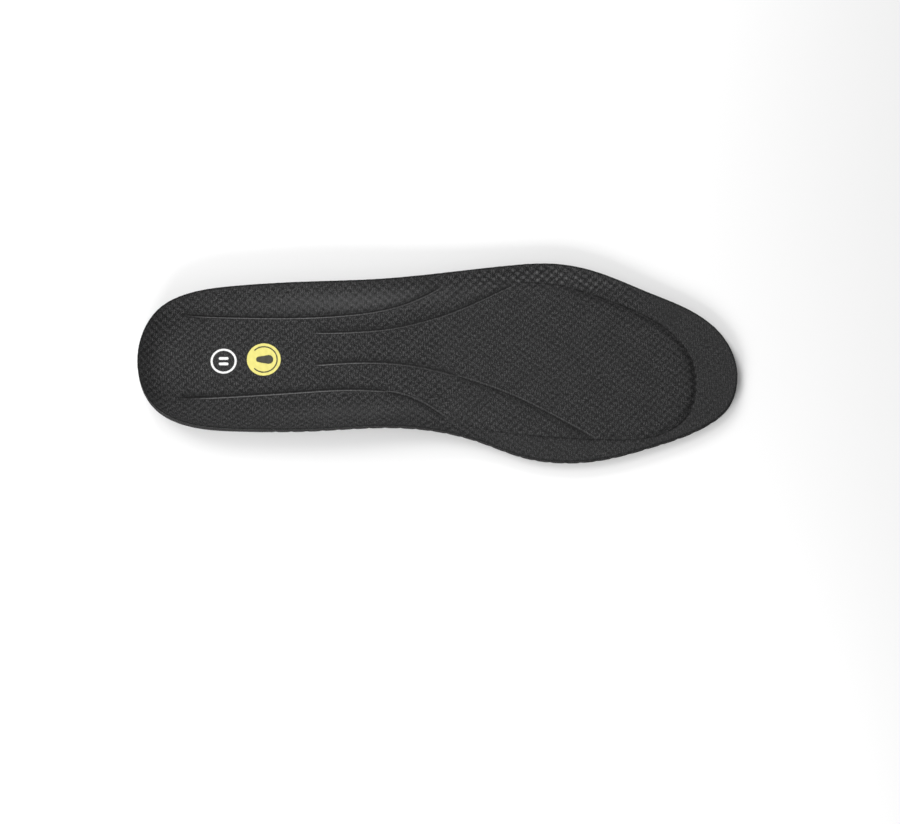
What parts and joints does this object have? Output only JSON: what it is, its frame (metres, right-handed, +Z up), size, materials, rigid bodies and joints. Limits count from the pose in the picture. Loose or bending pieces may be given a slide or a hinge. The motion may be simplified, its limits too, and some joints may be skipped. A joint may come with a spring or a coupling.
{
  "type": "cushioned insole",
  "caption": "Full-length cushioned shoe insole with a shallow heel cup, a knitted bumpy cover, embossed flow lines, a raised forefoot pad and soft inserts below.",
  "frame": {"origin": "under the middle of the bounding box, on the plane that the insole rests on", "axes": "+X from the heel to the toe, +Y to the outer (lateral) side of the left foot, +Z up from the underside to the foot"},
  "size_m": [0.272, 0.094, 0.0141],
  "materials": {
    "cover_knit": "charcoal 3-D knit with small domed bumps, thermally moulded, slight sheen on the bumps",
    "backing_foam": "black open-cell lamination foam, matt",
    "moulded_foam": "black moulded polyurethane foam with a fine skin, matt",
    "cushion_foam": "dark grey soft elastomer foam, matt",
    "white_print": "white screen print",
    "yellow_print": "yellow screen print",
    "dark_print": "dark overprint"
  },
  "bodies": {
    "root": {"cover_fabric": "cover_knit", "cover_foam": "backing_foam", "footbed": "moulded_foam", "heel_cushion": "cushion_foam", "forefoot_cushion": "cushion_foam", "size_ring_print": "white_print", "size_bar_print_1": "white_print", "size_bar_print_2": "white_print", "symbol_disc_print": "yellow_print", "symbol_ring_print": "dark_print", "symbol_glyph_print": "dark_print"}
  },
  "joints": []
}
